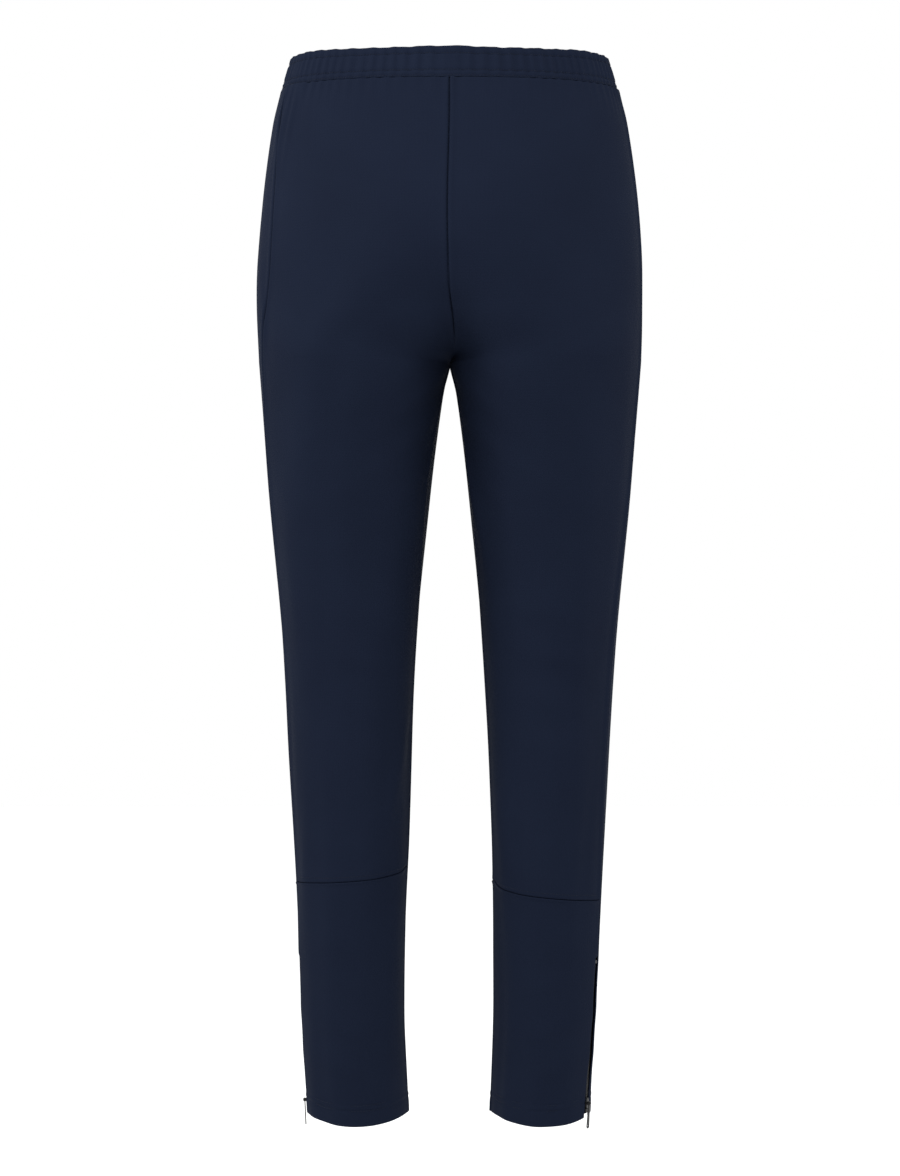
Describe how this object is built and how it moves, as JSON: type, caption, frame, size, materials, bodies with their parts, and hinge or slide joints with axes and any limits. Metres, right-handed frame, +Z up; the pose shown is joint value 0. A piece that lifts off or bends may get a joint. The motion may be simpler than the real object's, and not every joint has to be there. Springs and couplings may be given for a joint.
{
  "type": "training trousers",
  "caption": "Tapered knit training trousers with an elastic waistband, calf seams, zipped hip pockets and a zip up each ankle.",
  "frame": {"origin": "middle of the waist opening, level with the top edge of the band at the back, where the wearer's waist holds the garment", "axes": "+Z up along the garment, +Y towards the front, -X towards the wearer's left leg"},
  "size_m": [0.3695, 0.2557, 1.0224],
  "materials": {
    "shell_knit": "matt navy polyester knit with a soft sheen",
    "pocket_lining": "fine navy mesh",
    "elastic_webbing": "woven elastic, sewn inside the band",
    "zip_tape": "black woven tape",
    "zip_coil": "black nylon coil",
    "zip_metal": "dark lacquered zinc",
    "label_satin": "blank white satin"
  },
  "bodies": {
    "root": {"back_panel_left": "shell_knit", "front_panel_left": "shell_knit", "calf_panel_left": "shell_knit", "ankle_zip_left_tape_front": "zip_tape", "ankle_zip_left_coil_front": "zip_coil", "ankle_zip_left_stop_front": "zip_metal", "ankle_zip_left_tape_rear": "zip_tape", "ankle_zip_left_coil_rear": "zip_coil", "ankle_zip_left_stop_rear": "zip_metal", "ankle_zip_left_stop_bar": "zip_metal", "pocket_zip_left_tape_front": "zip_tape", "pocket_zip_left_coil_front": "zip_coil", "pocket_zip_left_stop_front": "zip_metal", "pocket_zip_left_tape_rear": "zip_tape", "pocket_zip_left_coil_rear": "zip_coil", "pocket_zip_left_stop_rear": "zip_metal", "pocket_zip_left_stop_bar": "zip_metal", "pocket_bag_left": "pocket_lining", "back_panel_right": "shell_knit", "front_panel_right": "shell_knit", "calf_panel_right": "shell_knit", "ankle_zip_right_tape_front": "zip_tape", "ankle_zip_right_coil_front": "zip_coil", "ankle_zip_right_stop_front": "zip_metal", "ankle_zip_right_tape_rear": "zip_tape", "ankle_zip_right_coil_rear": "zip_coil", "ankle_zip_right_stop_rear": "zip_metal", "ankle_zip_right_stop_bar": "zip_metal", "pocket_zip_right_tape_front": "zip_tape", "pocket_zip_right_coil_front": "zip_coil", "pocket_zip_right_stop_front": "zip_metal", "pocket_zip_right_tape_rear": "zip_tape", "pocket_zip_right_coil_rear": "zip_coil", "pocket_zip_right_stop_rear": "zip_metal", "pocket_zip_right_stop_bar": "zip_metal", "pocket_bag_right": "pocket_lining", "waistband": "shell_knit", "waist_elastic": "elastic_webbing", "cord_eyelet_left": "zip_metal", "cord_eyelet_right": "zip_metal", "care_label": "label_satin"},
    "ankle_zip_left_slider": {"ankle_zip_left_slider": "zip_metal"},
    "ankle_zip_left_pull": {"ankle_zip_left_pull": "zip_metal"},
    "pocket_zip_left_slider": {"pocket_zip_left_slider": "zip_metal"},
    "pocket_zip_left_pull": {"pocket_zip_left_pull": "zip_metal"},
    "ankle_zip_right_slider": {"ankle_zip_right_slider": "zip_metal"},
    "ankle_zip_right_pull": {"ankle_zip_right_pull": "zip_metal"},
    "pocket_zip_right_slider": {"pocket_zip_right_slider": "zip_metal"},
    "pocket_zip_right_pull": {"pocket_zip_right_pull": "zip_metal"}
  },
  "joints": [
    {"name": "ankle_zip_left_slide", "type": "slide", "parent": "root", "child": "ankle_zip_left_slider", "axis": [-0.0458, -0.017, 0.9988], "range_m": [0, 0.1272]},
    {"name": "ankle_zip_left_pull_swing", "type": "hinge", "parent": "ankle_zip_left_slider", "child": "ankle_zip_left_pull", "pos_m": [-0.1392, -0.01399, -0.99862], "axis": [-0.0757, 0.997, 0.0135], "range_deg": [0, 165]},
    {"name": "pocket_zip_left_slide", "type": "slide", "parent": "root", "child": "pocket_zip_left_slider", "axis": [-0.0774, 0.0199, -0.9968], "range_m": [0, 0.1074]},
    {"name": "pocket_zip_left_pull_swing", "type": "hinge", "parent": "pocket_zip_left_slider", "child": "pocket_zip_left_pull", "pos_m": [-0.15749, 0.05853, -0.1113], "axis": [0.6225, 0.782, -0.0327], "range_deg": [0, 165]},
    {"name": "ankle_zip_right_slide", "type": "slide", "parent": "root", "child": "ankle_zip_right_slider", "axis": [0.0625, 0.0228, 0.9978], "range_m": [0, 0.1273]},
    {"name": "ankle_zip_right_pull_swing", "type": "hinge", "parent": "ankle_zip_right_slider", "child": "ankle_zip_right_pull", "pos_m": [0.13331, -0.03583, -0.99863], "axis": [-0.3966, -0.9168, 0.0458], "range_deg": [0, 165]},
    {"name": "pocket_zip_right_slide", "type": "slide", "parent": "root", "child": "pocket_zip_right_slider", "axis": [0.0774, 0.0199, -0.9968], "range_m": [0, 0.1074]},
    {"name": "pocket_zip_right_pull_swing", "type": "hinge", "parent": "pocket_zip_right_slider", "child": "pocket_zip_right_pull", "pos_m": [0.15749, 0.05853, -0.1113], "axis": [0.6225, -0.782, 0.0327], "range_deg": [0, 165]}
  ]
}
